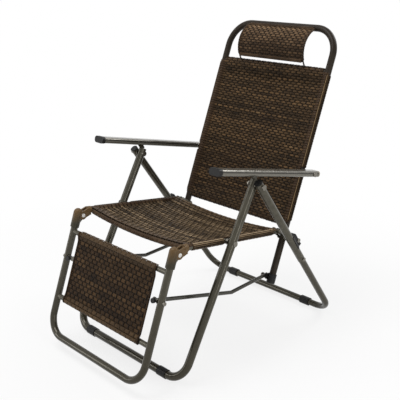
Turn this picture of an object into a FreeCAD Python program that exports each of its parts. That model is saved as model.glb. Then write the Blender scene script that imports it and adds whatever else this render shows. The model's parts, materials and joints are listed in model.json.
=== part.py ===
import FreeCAD, Part
import Sketcher
import math
import os
import re

# Driving sizes, millimetres and degrees
SIZES = {
    # tubes
    "sling_half": 227, "tube_od": 22, "rail_od": 18, "tube_wall": 1.2,
    "side_gap": 5.5, "leg_gap": 2, "leg_od": 25, "leg_wall": 1.3,
    "bar_od": 16, "rod_od": 12, "fit": 0.05, "gap": 0.3,
    # side view layout
    "pivot_y": -89.058, "pivot_z": 392.3, "sole": 1.5,
    "front_lean": 28.4, "seat_slope": 7.9, "back_lean": 21, "foot_lean": 19.8,
    "arm_above": 31.18, "leg_over": 14,
    "seat_front": 190.4, "hinge_drop": 13.6, "seat_rear": 276.8, "pivot_drop": 19.4,
    # legs
    "front_bend": 60, "rear_bend": 65, "rear_joint": 362, "rear_lap": 34,
    "foot_inset": 3, "foot_length": 36,
    # bolts
    "bolt_d": 8, "head_d": 17, "head_t": 4, "nut_t": 5, "screw_d": 6,
    # seat
    "tube_back": 22.4, "plate_reach": 30.8, "bare_front": 29, "bare_rear": 32,
    "wrap": 2.2, "sheet": 4, "seat_sag": 14, "edge_od": 14, "edge_front": 9, "edge_rear": 8,
    "plate_t": 4, "plate_r": 13, "rivet_inset": 5.5,
    # hinge between seat and footrest
    "lobe_r": 14, "eye_r": 13.5, "eye_t": 10, "rivet_od": 9, "rivet_head": 6.2, "socket": 3,
    # footrest
    "foot_set": 15, "crank": 140, "foot_upper": 56, "foot_lower": 269, "foot_drop": 388,
    "foot_top": 24, "cap_top": 6, "foot_bend": 65, "panel_inset": 39,
    # backrest
    "back_top": 677, "tail_over": 15, "back_bend": 85, "back_low": 42, "bar_inset": 53,
    "back_sag": 16, "arm_reach": 215,
    "head_set": 31, "top_wire": 14, "low_wire": 33, "wire_od": 5,
    # link rod
    "rod_gap": 3.5, "rod_bend": 313, "rod_sag": 32, "rod_over": 12.5,
    # armrest
    "boss": 3, "arm_gap": 2, "arm_wide": 40, "arm_high": 19, "arm_wall": 1.6, "arm_round": 8,
    "arm_front": 441, "arm_back": 26, "arm_cap": 12, "slot_wide": 11, "tongue": 6, "pin_d": 8,
    "slot_room": 21.8, "cap_room": 29, "rack_steps": 6, "rack_pitch": 24,
    # rest of the back pivot on the rear legs
    "pin_od": 10, "roller_od": 14, "roller_over": 5, "saddle": 2, "lip": 8,
}

# Sizes that follow from the driving ones
DERIVED = {
    "front_half": "sling_half + tube_od / 2 + side_gap + leg_od / 2",
    "rear_half": "front_half + leg_od + leg_gap",
    "arm_x": "sling_half + tube_od / 2 + boss + arm_gap + arm_wide / 2",
    "roller_end": "rear_half + roller_over",
    "rod_x": "sling_half - tube_od / 2 - rod_gap - rod_od / 2",
    "foot_height": "leg_od / 2 + sole",
    "foot_spread": "front_half - front_bend - foot_length / 2 - foot_inset",
    "leg_cross": "arm_reach * cos((front_lean - back_lean) * 1deg) - arm_above",
    "rest_back": "seat_rear * cos(seat_slope * 1deg) - pivot_drop * sin(seat_slope * 1deg)"
                 " - leg_cross * sin(front_lean * 1deg)",
    "rest_down": "seat_rear * sin(seat_slope * 1deg) + pivot_drop * cos(seat_slope * 1deg)"
                 " + leg_cross * cos(front_lean * 1deg)",
    "rest_out": "leg_od / 2 + saddle + roller_od / 2 + 2 * fit",
    "rear_lean": "(atan(rest_back / rest_down)"
                 " - asin(rest_out / sqrt(rest_back ^ 2 + rest_down ^ 2))) / 1deg",
    "seat_tube_front": "seat_front - tube_back",
    "wrap_front": "seat_tube_front - bare_front",
    "seat_tube_rear": "seat_rear - plate_reach",
    "wrap_rear": "seat_tube_rear - bare_rear",
    "plate_rivet": "seat_tube_rear - rivet_inset",
    "foot_panel": "sling_half - panel_inset",
    "back_tail": "crank + tail_over",
    "back_high": "back_top - back_bend - bar_inset",
    "head_half": "sling_half - back_bend - wire_od / 2",
    "head_z": "(back_top + back_high) / 2",
    "head_r": "sqrt(head_set ^ 2 + (back_top - back_high) ^ 2 / 4)",
    "slot_start": "seat_rear - slot_room",
    "slot_end": "arm_front - cap_room",
}

doc = FreeCAD.newDocument("recliner")
sheet = doc.addObject("Spreadsheet::Sheet", "Sizes")
formulas = {alias: f"={text}" for alias, text in DERIVED.items()}
table = {**SIZES, **formulas}
for row, (alias, value) in enumerate(table.items(), start=1):
    sheet.set(f"A{row}", alias)
    sheet.setAlias(f"B{row}", alias)
    sheet.set(f"B{row}", str(value))
doc.recompute()

Vec = FreeCAD.Vector
Place = FreeCAD.Placement
Turn = FreeCAD.Rotation
X_AXIS = Vec(1, 0, 0)
parts = []


def size(alias):
    value = sheet.get(alias)
    return float(getattr(value, "Value", value))


# Expressions are written with bare aliases and turned into cell references here
def cells(text):
    def swap(found):
        word = found.group(0)
        return f"<<Sizes>>.{word}" if word in table else word
    return re.sub(r"[A-Za-z_]\w*", swap, str(text))


def bind(item, prop, text):
    item.setExpression(prop, cells(text))


# Number of a bare expression, for placements worked out in code
def size_of(text):
    value = sheet.evalExpression(cells(text))
    return float(getattr(value, "Value", value))


# Frames: every body turns about the x axis only
def frame(y, z, degrees):
    return Place(Vec(0, y, z), Turn(X_AXIS, degrees))


def shift(x, y, z):
    return Place(Vec(x, y, z), Turn())


P5 = Vec(0, size("pivot_y"), size("pivot_z"))
FRONT = frame(P5.y, P5.z, -size("front_lean"))
P6 = FRONT.multVec(Vec(0, 0, size("leg_cross")))
REAR = frame(P6.y, P6.z, size("rear_lean"))
SEAT = frame(P5.y, P5.z, -size("seat_slope"))
P3 = SEAT.multVec(Vec(0, -size("seat_front"), -size("hinge_drop")))
P1 = SEAT.multVec(Vec(0, size("seat_rear"), -size("pivot_drop")))
BACK = frame(P1.y, P1.z, -size("back_lean"))
FOOT = frame(P3.y, P3.z, -size("foot_lean"))
P4 = FOOT.multVec(Vec(0, -size("foot_set"), -size("crank")))
P2 = P1 + P4 - P3
P7 = BACK.multVec(Vec(0, 0, size("arm_reach")))
ARM_PIN = P5 + P7 - P1
span = P1 - P5
ARM = frame(P7.y, P7.z, math.degrees(math.atan2(span.z, span.y)))
chord = P2 - P4
LINK = frame(P4.y, P4.z, math.degrees(math.atan2(chord.z, chord.y)))


def local(place, point):
    return place.inverse().multVec(point)


# Basic solids with bound sizes; along x, y or z
TURNS = {
    "x": Turn(Vec(0, 1, 0), 90),
    "y": Turn(X_AXIS, -90),
    "z": Turn(),
}


def rod(along, radius, length, x="0", y="0", z="0"):
    item = doc.addObject("Part::Cylinder", "Rod")
    bind(item, "Radius", radius)
    bind(item, "Height", length)
    item.Placement = Place(Vec(), TURNS[along])
    for axis, text in zip("xyz", (x, y, z)):
        bind(item, f"Placement.Base.{axis}", text)
    return item


def ball(radius, x, y, z):
    item = doc.addObject("Part::Sphere", "Ball")
    bind(item, "Radius", radius)
    for axis, text in zip("xyz", (x, y, z)):
        bind(item, f"Placement.Base.{axis}", text)
    return item


def block(wide, deep, high, x, y, z):
    item = doc.addObject("Part::Box", "Block")
    bind(item, "Length", wide)
    bind(item, "Width", deep)
    bind(item, "Height", high)
    for axis, text in zip("xyz", (x, y, z)):
        bind(item, f"Placement.Base.{axis}", text)
    return item


def fuse(*items):
    item = doc.addObject("Part::MultiFuse", "Union")
    item.Shapes = list(items)
    item.Refine = True
    return item


def cut(base, *tools):
    item = doc.addObject("Part::Cut", "Remainder")
    item.Base = base
    item.Tool = tools[0] if len(tools) == 1 else fuse(*tools)
    return item


def mirrored(source):
    item = doc.addObject("Part::Mirroring", "Mirror")
    item.Source = source
    item.Normal = X_AXIS
    return item


def group(*items):
    item = doc.addObject("Part::Compound", "Set")
    item.Links = list(items)
    return item


def keep(label, item, place):
    item.Label = label
    item.Placement = place
    parts.append(item)


# A pair is one node with a left and a right solid; sides gives each its own node
def pair(label, item, place):
    keep(label, group(item, mirrored(item)), place)


def sides(label, item, place):
    other = mirrored(item)
    keep(f"{label}_left", group(item), place)
    keep(f"{label}_right", group(other), place)


def plane(body, role):
    return next(item for item in body.Origin.OriginFeatures if item.Role == role)


def sketch_on(body, role, name):
    sketch = body.newObject("Sketcher::SketchObject", name)
    sketch.AttachmentSupport = [(plane(body, role), "")]
    sketch.MapMode = "FlatFace"
    return sketch


def dimension(sketch, name, text, *rule):
    index = sketch.addConstraint(Sketcher.Constraint(*rule))
    sketch.renameConstraint(index, name)
    sketch.setExpression(f"Constraints.{name}", cells(text))


# A tube bent into a U that hangs down from z = 0
def bent_tube(name, half, drop, bend, outer, wall):
    body = doc.addObject("PartDesign::Body", name)
    path = sketch_on(body, "XZ_Plane", name + "Path")
    w, depth, r = 300, 500, 50
    path.addGeometry(Part.LineSegment(Vec(-w, 0, 0), Vec(-w, r - depth, 0)))
    path.addGeometry(Part.ArcOfCircle(Part.Circle(Vec(r - w, r - depth, 0), Vec(0, 0, 1), r),
                                      math.pi, 1.5 * math.pi))
    path.addGeometry(Part.LineSegment(Vec(r - w, -depth, 0), Vec(w - r, -depth, 0)))
    path.addGeometry(Part.ArcOfCircle(Part.Circle(Vec(w - r, r - depth, 0), Vec(0, 0, 1), r),
                                      1.5 * math.pi, 2 * math.pi))
    path.addGeometry(Part.LineSegment(Vec(w, r - depth, 0), Vec(w, 0, 0)))
    for first in range(4):
        path.addConstraint(Sketcher.Constraint("Tangent", first, 2, first + 1, 1))
    path.addConstraint(Sketcher.Constraint("Vertical", 0))
    path.addConstraint(Sketcher.Constraint("Horizontal", 2))
    path.addConstraint(Sketcher.Constraint("Vertical", 4))
    path.addConstraint(Sketcher.Constraint("Equal", 1, 3))
    path.addConstraint(Sketcher.Constraint("PointOnObject", 0, 1, -1))
    path.addConstraint(Sketcher.Constraint("Symmetric", 0, 1, 4, 2, -2))
    dimension(path, "bend", bend, "Radius", 1, r)
    dimension(path, "width", f"2 * {half}", "DistanceX", 0, 1, 4, 2, 2 * w)
    dimension(path, "drop", drop, "DistanceY", 2, 1, -1, 1, depth)
    ring = sketch_on(body, "XY_Plane", name + "Ring")
    ring.addGeometry(Part.Circle(Vec(-w, 0, 0), Vec(0, 0, 1), 12))
    ring.addGeometry(Part.Circle(Vec(-w, 0, 0), Vec(0, 0, 1), 10))
    ring.addConstraint(Sketcher.Constraint("Coincident", 0, 3, 1, 3))
    ring.addConstraint(Sketcher.Constraint("PointOnObject", 0, 3, -1))
    dimension(ring, "outer", f"{outer} / 2", "Radius", 0, 12)
    dimension(ring, "inner", f"{outer} / 2 - {wall}", "Radius", 1, 10)
    dimension(ring, "half", half, "DistanceX", 0, 3, -1, 1, w)
    doc.recompute()
    pipe = body.newObject("PartDesign::AdditivePipe", name + "Pipe")
    pipe.Profile = ring
    pipe.Spine = (path, [f"Edge{index}" for index in range(1, 6)])
    doc.recompute()
    return body


def tube(along, outer, wall, length, x, y, z):
    return cut(rod(along, f"{outer} / 2", length, x, y, z),
               rod(along, f"{outer} / 2 - {wall}", length, x, y, z))


# A hole along x through both sides of a frame, or through one side only
def drill(radius, y, z, x="-400", length="800"):
    return rod("x", radius, length, x, y, z)


# A rod or a flat strap from one point to another in a side view plane at x
def aimed(start, end):
    return Turn(Vec(0, 0, 1), Vec(0, end.y - start.y, end.z - start.z))


def strut(radius, start, end, x):
    item = doc.addObject("Part::Cylinder", "Strut")
    bind(item, "Radius", radius)
    item.Height = (end - start).Length
    item.Placement = Place(Vec(size_of(x), start.y, start.z), aimed(start, end))
    return item


def strap(thick, wide, start, end, x):
    item = doc.addObject("Part::Box", "Strap")
    bind(item, "Length", thick)
    bind(item, "Width", wide)
    item.Height = (end - start).Length
    corner = shift(-size_of(thick) / 2, -size_of(wide) / 2, 0)
    item.Placement = Place(Vec(size_of(x), start.y, start.z), aimed(start, end)).multiply(corner)
    return item


# A bar between two tubes whose ends are coped to them
def cross_bar(outer, half, tube_od, y, z, along="z"):
    bar = tube("x", outer, "tube_wall", f"2 * {half}", f"-({half})", y, z)
    reach = "4 * bar_od"
    at = {"z": (y, f"{z} - 2 * bar_od"), "y": (f"{y} - 2 * bar_od", z)}[along]
    copes = [rod(along, f"{tube_od} / 2 + fit", reach, side + half, *at) for side in ("", "-")]
    return cut(bar, *copes)


# A round tube bowed downwards by sag between the side tubes, which lie along y
def bowed_bar(outer, half, sag, y, z):
    big = f"(({half}) ^ 2 + {sag} ^ 2) / (2 * {sag})"
    radius = size_of(big)
    sweep = 2 * math.degrees(math.asin(size_of(half) / radius))
    upright = Turn(X_AXIS, 90).multiply(Turn(Vec(0, 0, 1), -90 - sweep / 2))
    rings = []
    for thick in (f"{outer} / 2", f"{outer} / 2 - tube_wall"):
        item = doc.addObject("Part::Torus", "Bow")
        bind(item, "Radius1", big)
        bind(item, "Radius2", thick)
        bind(item, "Angle3", f"2 * asin({half} / ({big}))")
        item.Placement = Place(Vec(0, size_of(y), size_of(z) + radius - size_of(sag)), upright)
        rings.append(item)
    copes = [rod("y", "rail_od / 2 + fit", "4 * bar_od", side + half, f"{y} - 2 * bar_od", z)
             for side in ("", "-")]
    return cut(rings[0], rings[1], *copes)


# A sagging sheet between two tubes that lie along y, with a sleeve round each tube
def sling(half, outer, sag, start, length, height):
    chord_half = f"({half} - {outer} / 2)"
    big = f"({chord_half} ^ 2 + {sag} ^ 2) / (2 * {sag})"
    radius = size_of(big)
    sweep = 2 * math.degrees(math.asin(size_of(chord_half) / radius))
    walls = []
    for offset in ("sheet / 2", "-sheet / 2"):
        item = doc.addObject("Part::Cylinder", "Bowl")
        bind(item, "Radius", f"{big} + {offset}")
        bind(item, "Height", length)
        bind(item, "Angle", f"2 * asin({chord_half} / ({big}))")
        lying = Turn(X_AXIS, 90).multiply(Turn(Vec(0, 0, 1), -90 - sweep / 2))
        top = size_of(height) + radius - size_of(sag)
        item.Placement = Place(Vec(0, size_of(f"{start} + {length}"), top), lying)
        walls.append(item)
    bowl = cut(*walls)
    sleeves = [rod("y", f"{outer} / 2 + wrap", length, side + half, start, "0") for side in ("", "-")]
    bores = [rod("y", f"{outer} / 2 + gap", length, side + half, start, "0") for side in ("", "-")]
    return cut(fuse(bowl, *sleeves), *bores)


BOLT = "bolt_d / 2"
HOLE = "bolt_d / 2 + fit"
HEAD = "head_d / 2"

# Front legs
front_drop = "leg_cross + leg_over + (pivot_z - foot_height) / cos(front_lean * 1deg)"
front_u = bent_tube("FrontLegs", "front_half", front_drop, "front_bend", "leg_od", "leg_wall")
front_u.Placement = shift(0, 0, size("leg_cross") + size("leg_over"))
front_legs = cut(front_u, drill(HOLE, "0", "0"), drill(HOLE, "0", "leg_cross"))
keep("front_leg_frame", front_legs, FRONT)


def feet(label, outer, bar_y):
    near = "foot_spread - foot_length / 2"
    hole = rod("x", f"{outer} / 2 + fit", "foot_length", near, "0", "foot_height")
    skin = rod("x", "foot_height + sole / 3", "foot_length", near, "0", "foot_height")
    floor = block("foot_length", "4 * foot_height", "foot_height", near, "-2 * foot_height", "-foot_height")
    pair(label, cut(skin, hole, floor), shift(0, bar_y, 0))


front_bar = FRONT.multVec(Vec(0, 0, -size_of("(pivot_z - foot_height) / cos(front_lean * 1deg)")))
feet("front_feet", "leg_od", front_bar.y)

# Plug in the top of each front leg, with the tongue that carries the slider pin
pin_at = local(FRONT, ARM_PIN)
plug_top = Vec(0, 0, size_of("leg_cross + leg_over + 2"))
plug = fuse(
    rod("z", "leg_od / 2 - leg_wall - fit", "2 * leg_over + 1", "front_half", "0", "leg_cross - leg_over"),
    rod("z", "leg_od / 2", "3", "front_half", "0", "leg_cross + leg_over"),
    strap("tongue", "14", plug_top, pin_at, "front_half"),
    rod("x", "arm_high / 2 - arm_wall - 1.75", "tongue", "front_half - tongue / 2",
        str(pin_at.y), str(pin_at.z)))
plug = cut(plug, drill(HOLE, "0", "leg_cross"), drill("pin_d / 2 + fit", str(pin_at.y), str(pin_at.z)))
sides("leg_top_plug", plug, FRONT)


# Bolt along x with a head at its outer end and, where wanted, a nut at its inner end
def bolt(radius, start, end, head_t, y, z, nut_t=None, head=HEAD, nut=HEAD):
    pieces = [rod("x", radius, f"{end} - ({start})", start, y, z),
              rod("x", head, head_t, end, y, z)]
    if nut_t:
        pieces.append(rod("x", nut, nut_t, f"{start} - {nut_t}", y, z))
    return fuse(*pieces)


leg_in = "front_half - leg_od / 2"
leg_out = "front_half + leg_od / 2"
leg_bolt = bolt(BOLT, f"{leg_in} - gap", "rear_half + leg_od / 2 + gap", "head_t", "0", "leg_cross", "nut_t")
pair("leg_pivot_bolts", leg_bolt, FRONT)
leg_spacer = rod("x", "leg_od * 0.4", "leg_gap - 2 * fit", f"{leg_out} + fit", "0", "leg_cross")
pair("leg_spacers", cut(leg_spacer, drill(HOLE, "0", "leg_cross")), FRONT)
pair("seat_pivot_bolts", bolt(BOLT, "sling_half - 5", f"{leg_out} + fit", "1.5", "0", "0"), FRONT)
seat_spacer = rod("x", "9", "side_gap + (tube_od - rail_od) / 2 - 2 * fit", "sling_half + rail_od / 2 + fit",
                  "0", "0")
pair("seat_spacers", cut(seat_spacer, drill(HOLE, "0", "0")), FRONT)

# Rear legs; the lower tube slides into the upper ones
LOWER_OD = "(leg_od - 2 * leg_wall - 2 * fit)"
rear_long = "(leg_cross * cos(front_lean * 1deg) + pivot_z - foot_height) / cos(rear_lean * 1deg)"
lower_top = "rear_joint - rear_lap"
lower_u = bent_tube("RearLegs", "rear_half", f"{rear_long} - ({lower_top})", "rear_bend", LOWER_OD,
                    "leg_wall")
lower_u.Placement = shift(0, 0, -size_of(lower_top))
keep("rear_leg_frame", cut(lower_u, drill("screw_d / 2 + fit", "0", "7 - rear_joint")), REAR)
upper = tube("z", "leg_od", "leg_wall", "leg_over + rear_joint", "rear_half", "0", "-rear_joint")
upper = cut(upper, drill(HOLE, "0", "0"), drill("screw_d / 2 + fit", "0", "7 - rear_joint"))
sides("rear_leg_tube", upper, REAR)
screw = fuse(rod("x", "screw_d / 2", "leg_od + 2", "rear_half - leg_od / 2 - 1", "0", "7 - rear_joint"),
             rod("x", "screw_d", "2.5", "rear_half + leg_od / 2 + gap", "0", "7 - rear_joint"))
pair("rear_leg_screws", screw, REAR)
pair("rear_leg_caps", fuse(rod("z", "leg_od / 2 - leg_wall - fit", "6", "rear_half", "0", "leg_over - 5"),
                           rod("z", "leg_od / 2", "2.5", "rear_half", "0", "leg_over + 0.1")), REAR)
rear_bar = REAR.multVec(Vec(0, 0, -size_of(rear_long)))
feet("rear_feet", LOWER_OD, rear_bar.y)

# Hook on the rear side of each rear leg; its floor lies under the roller
rest_at = local(REAR, P1)
hook_low = str(rest_at.z - size("roller_od") / 2 - 9)
hook_long = "roller_od + 38"
seat_y = str(rest_at.y - size("roller_od") / 2 - 0.1)
shell = cut(rod("z", "leg_od / 2 + saddle", hook_long, "rear_half", "0", hook_low),
            block("leg_od * 2", "leg_od * 2", hook_long, "rear_half - leg_od", "-leg_od * 2 + 2", hook_low))
lips = [block("18", f"{seat_y} + lip - leg_od / 2", high, "rear_half - 9", "leg_od / 2", low)
        for high, low in (("8.6", hook_low), ("22", str(rest_at.z + size("roller_od") / 2 + 5)))]
floor = block("18", f"{seat_y} - leg_od / 2 + 1", hook_long, "rear_half - 9", "leg_od / 2 - 1", hook_low)
hook = cut(fuse(shell, floor, *lips), rod("z", "leg_od / 2 + fit", hook_long, "rear_half", "0", hook_low))
pair("rest_hooks", hook, REAR)

# Seat side tubes and bars
seat_long = "seat_tube_front + seat_tube_rear"
seat_tube = cut(tube("y", "rail_od", "tube_wall", seat_long, "sling_half", "-seat_tube_front", "0"),
                drill(HOLE, "0", "0", "sling_half"), drill("screw_d / 2 + fit", "plate_rivet", "0"))
sides("seat_tube", seat_tube, SEAT)
keep("seat_front_bar", bowed_bar("edge_od", "sling_half", "seat_sag", "-wrap_front - edge_front", "0"), SEAT)
keep("seat_rear_bar", bowed_bar("edge_od", "sling_half", "seat_sag", "wrap_rear + edge_rear", "0"), SEAT)
seat_sheet = sling("sling_half", "rail_od", "seat_sag", "-wrap_front", "wrap_front + wrap_rear", "0")
bolt_room = [rod("x", "11", "tube_od / 2 + wrap", side + "sling_half" + back, "0", "0")
             for side, back in (("", ""), ("-", " - tube_od / 2 - wrap"))]
keep("seat_weave", cut(seat_sheet, *bolt_room), SEAT)

# Fork on the front end of each seat tube
cheek = "(tube_od - eye_t) / 2 - 0.5"
cheek_x = ("sling_half - tube_od / 2", "sling_half + eye_t / 2 + 0.5")
hinge = Vec(0, -size("seat_front"), -size("hinge_drop"))
root = Vec(0, -size("seat_tube_front") + 4, -2)
cheeks = []
for left in cheek_x:
    cheeks.append(rod("x", "lobe_r", cheek, left, "-seat_front", "-hinge_drop"))
    cheeks.append(strap(cheek, "24", hinge, root, f"{left} + ({cheek}) / 2"))
socket = rod("y", "rail_od / 2 + socket", "15", "sling_half", "-seat_tube_front - 4", "0")
fork = cut(fuse(socket, *cheeks),
           rod("y", "rail_od / 2 + fit", "60", "sling_half", "-seat_tube_front - fit", "0"),
           drill("rivet_od / 2 + fit", "-seat_front", "-hinge_drop"))
sides("seat_knuckle", fork, SEAT)

# Plates that carry the back pivot, one on each side of the rail, with a boss that meets it
pivot = Vec(0, size("seat_rear"), -size("pivot_drop"))
held = Vec(0, size("plate_rivet"), 0)
boss_long = "(tube_od - rail_od) / 2 + 0.4 - fit"
plates = []
for left, boss_left in (("sling_half - tube_od / 2 - plate_t - 0.4", "sling_half - tube_od / 2 - 0.4"),
                        ("sling_half + tube_od / 2 + 0.4", "sling_half + rail_od / 2 + fit")):
    plate = fuse(rod("x", "plate_r", "plate_t", left, "seat_rear", "-pivot_drop"),
                 rod("x", "9", "plate_t", left, "plate_rivet", "0"),
                 rod("x", "7", boss_long, boss_left, "plate_rivet", "0"),
                 strap("plate_t", "18", held, pivot, f"{left} + plate_t / 2"))
    plates.append(cut(plate, drill("pin_od / 2 + fit", "seat_rear", "-pivot_drop"),
                      drill("screw_d / 2 + fit", "plate_rivet", "0")))
sides("seat_rear_plates", group(*plates), SEAT)
plate_rivet = bolt("screw_d / 2", "sling_half - tube_od / 2 - plate_t - 0.6",
                   "sling_half + tube_od / 2 + plate_t + 0.6", "1.2", "plate_rivet", "0", "1.2")
pair("seat_plate_rivets", plate_rivet, SEAT)
tube_plug = rod("y", "rail_od / 2 - tube_wall - fit", "12.5", "sling_half", "seat_tube_rear - 12", "0")
pair("seat_tube_plugs", cut(tube_plug, drill("screw_d / 2 + fit", "plate_rivet", "0")), SEAT)

# Back pivot bolts and the rollers that sit in the rest hooks
pin = "pin_od / 2"
plate_in = "sling_half - tube_od / 2 - plate_t - 0.4"
plate_out = "sling_half + tube_od / 2 + plate_t + 0.4"
back_bolt = bolt(pin, f"{plate_in} - gap", "roller_end + gap", "3", "0", "0", "nut_t", "roller_od / 2")
pair("back_pivot_bolts", back_bolt, BACK)
roller = rod("x", "roller_od / 2", f"roller_end - ({plate_out}) - gap", f"{plate_out} + gap", "0", "0")
pair("rest_rollers", cut(roller, drill(f"{pin} + fit", "0", "0")), BACK)

# Backrest frame and bars
back_u = bent_tube("Backrest", "sling_half", "back_top + back_tail", "back_bend", "tube_od", "tube_wall")
back_u.Placement = Place(Vec(0, 0, -size("back_tail")), Turn(Vec(0, 1, 0), 180))
back_tube = cut(back_u, drill(f"{pin} + fit", "0", "0"), drill("screw_d / 2 + fit", "0", "arm_reach"))
keep("backrest_frame", back_tube, BACK)
keep("backrest_lower_bar", cross_bar("bar_od", "sling_half", "tube_od", "0", "back_low"), BACK)
keep("backrest_upper_bar", cross_bar("bar_od", "sling_half", "tube_od", "0", "back_high"), BACK)
panel_low = "back_low + bar_od / 2 + 1"
panel_long = f"back_high - bar_od / 2 - 1 - ({panel_low})"
STAND = Place(Vec(), Turn(X_AXIS, 90))
back_sheet = sling("sling_half", "tube_od", "back_sag", panel_low, panel_long, "0")
back_sheet.Placement = STAND
boss_room = [rod("x", "10", "tube_od / 2 + wrap", side + "sling_half" + back, "0", "arm_reach")
             for side, back in (("", ""), ("-", " - tube_od / 2 - wrap"))]
keep("backrest_weave", cut(back_sheet, *boss_room), BACK)
boss = fuse(rod("x", "9", "boss - gap - fit", "sling_half + tube_od / 2 + gap", "0", "arm_reach"),
            rod("x", "screw_d / 2", "boss + 6", "sling_half + tube_od / 2 - 6", "0", "arm_reach"))
pair("arm_pivot_bosses", boss, BACK)


# Headrest: wires bowed forward from the upper bar to the top tube, and the sheet between them
# Angles are about x, measured from rear towards up
tube_turn = math.degrees(math.atan2(size_of("back_top - head_z"), -size("head_set")))
bar_turn = 360 - tube_turn
head_inner = "(head_half - wire_od / 2 - fit)"


def head_angle(chord):
    return 2 * math.degrees(math.asin(size_of(chord) / 2 / size("head_r")))


def head_turns(start, above, end, below):
    return start + head_angle(above), end - head_angle(below)


def head_place(x, turn):
    around = Turn(Vec(0, 1, 0), 90).multiply(Turn(Vec(0, 0, 1), 90 + turn))
    return Place(Vec(size_of(x), size("head_set"), size("head_z")), around)


wire_turns = head_turns(tube_turn, "tube_od / 2 + fit", bar_turn, "bar_od / 2 + fit")
cross_turns = head_turns(tube_turn, "top_wire", bar_turn, "low_wire")
sheet_turns = head_turns(cross_turns[0], "wire_od / 2 + fit", cross_turns[1], "wire_od / 2 + fit")
side_wire = doc.addObject("Part::Torus", "Wire")
bind(side_wire, "Radius1", "head_r")
bind(side_wire, "Radius2", "wire_od / 2")
side_wire.Angle3 = wire_turns[1] - wire_turns[0]
side_wire.Placement = head_place("head_half", wire_turns[0])
cross_wires = [rod("x", "wire_od / 2", f"2 * {head_inner}", f"-{head_inner}",
                   f"head_set + head_r * cos({turn}deg)", f"head_z + head_r * sin({turn}deg)")
               for turn in cross_turns]
keep("headrest_wires", group(side_wire, mirrored(side_wire), *cross_wires), BACK)


def head_bow(radius):
    item = doc.addObject("Part::Cylinder", "Bow")
    bind(item, "Radius", radius)
    bind(item, "Height", f"2 * {head_inner}")
    item.Angle = sheet_turns[1] - sheet_turns[0]
    item.Placement = head_place(f"-{head_inner}", sheet_turns[0])
    return item


keep("headrest_weave", cut(head_bow("head_r + sheet / 2"), head_bow("head_r - sheet / 2")), BACK)

# Bracket on the end of each tail, with the lug for the link rod
lug_at = local(BACK, P2)
lug_in = "rod_x + rod_od / 2 + gap"
tail_end = Vec(0, 0, lug_at.z)
lug = fuse(rod("z", "tube_od / 2 + socket", "30", "sling_half", "0", "-back_tail - 4"),
           rod("x", "10", "6", lug_in, str(lug_at.y), str(lug_at.z)),
           strap("6", "20", lug_at, tail_end, f"{lug_in} + 3"))
lug = cut(lug, rod("z", "tube_od / 2 + fit", "60", "sling_half", "0", "-back_tail - fit"),
          rod("x", HOLE, "12", f"{lug_in} - 3", str(lug_at.y), str(lug_at.z)))
sides("tail_bracket", lug, BACK)
at = (str(lug_at.y), str(lug_at.z))
rear_bolt = fuse(rod("x", BOLT, "rod_od + 6", "rod_x - rod_od / 2 - gap", *at),
                 rod("x", "7", "nut_t", "rod_x - rod_od / 2 - gap - nut_t", *at))
pair("link_rear_bolts", rear_bolt, BACK)

# Footrest
foot_u = bent_tube("Footrest", "sling_half", "foot_drop - foot_top", "foot_bend", "tube_od", "tube_wall")
foot_u.Placement = shift(0, -size("foot_set"), -size("foot_top"))
keep("footrest_frame", cut(foot_u, drill(HOLE, "-foot_set", "-crank")), FOOT)
keep("footrest_upper_bar", cross_bar("bar_od", "sling_half", "tube_od", "-foot_set", "-foot_upper"), FOOT)
keep("footrest_lower_bar", cross_bar("bar_od", "sling_half", "tube_od", "-foot_set", "-foot_lower"), FOOT)
flat_panel = block("2 * foot_panel", "sheet", "foot_lower - foot_upper",
                   "-foot_panel", "-foot_set - sheet / 2", "-foot_lower")
panel = fuse(flat_panel,
             *[rod("x", "bar_od / 2 + wrap", "2 * foot_panel", "-foot_panel", "-foot_set", at)
               for at in ("-foot_upper", "-foot_lower")])
panel = cut(panel, *[rod("x", "bar_od / 2 + gap", "2 * foot_panel", "-foot_panel", "-foot_set", at)
                     for at in ("-foot_upper", "-foot_lower")])
keep("footrest_weave", panel, FOOT)
eye_x = "sling_half - eye_t / 2"
cap_at = Vec(0, -size("foot_set"), -size("foot_top") - 4)
cap_long = "foot_top + 18 + cap_top"
eye = fuse(rod("z", "tube_od / 2 + socket", cap_long, "sling_half", "-foot_set", "-foot_top - 18"),
           ball("tube_od / 2 + socket", "sling_half", "-foot_set", "cap_top"))
fork_room = block("2 * tube_od", "2 * tube_od", "2 * tube_od", "sling_half - tube_od", "5 - foot_set", "0")
eye = cut(eye, drill("lobe_r + 0.5", "0", "0"), fork_room)
eye = fuse(eye, rod("x", "eye_r", "eye_t", eye_x, "0", "0"),
           strap("eye_t", "22", Vec(), cap_at, "sling_half"))
eye = cut(eye, rod("z", "tube_od / 2 + fit", "40", "sling_half", "-foot_set", "-foot_top - 40 + fit"),
          drill("rivet_od / 2 + fit", "0", "0"))
sides("foot_knuckle", eye, FOOT)
rivet = fuse(rod("x", "rivet_od / 2", "tube_od + 0.6", "sling_half - tube_od / 2 - 0.3", "0", "0"),
             *[rod("x", "rivet_head", "1.2", left, "0", "0")
               for left in ("sling_half + tube_od / 2 + 0.3", "sling_half - tube_od / 2 - 1.5")])
pair("hinge_rivets", rivet, FOOT)
pair("link_front_bolts", bolt(BOLT, "rod_x - rod_od / 2 - gap", "sling_half + tube_od / 2 + gap", "head_t",
                              "-foot_set", "-crank", "nut_t", "screw_d", "7"), FOOT)
link_spacer = rod("x", "8", "rod_gap - 2 * gap", "rod_x + rod_od / 2 + gap", "-foot_set", "-crank")
pair("link_spacers", cut(link_spacer, drill(HOLE, "-foot_set", "-crank")), FOOT)

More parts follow.
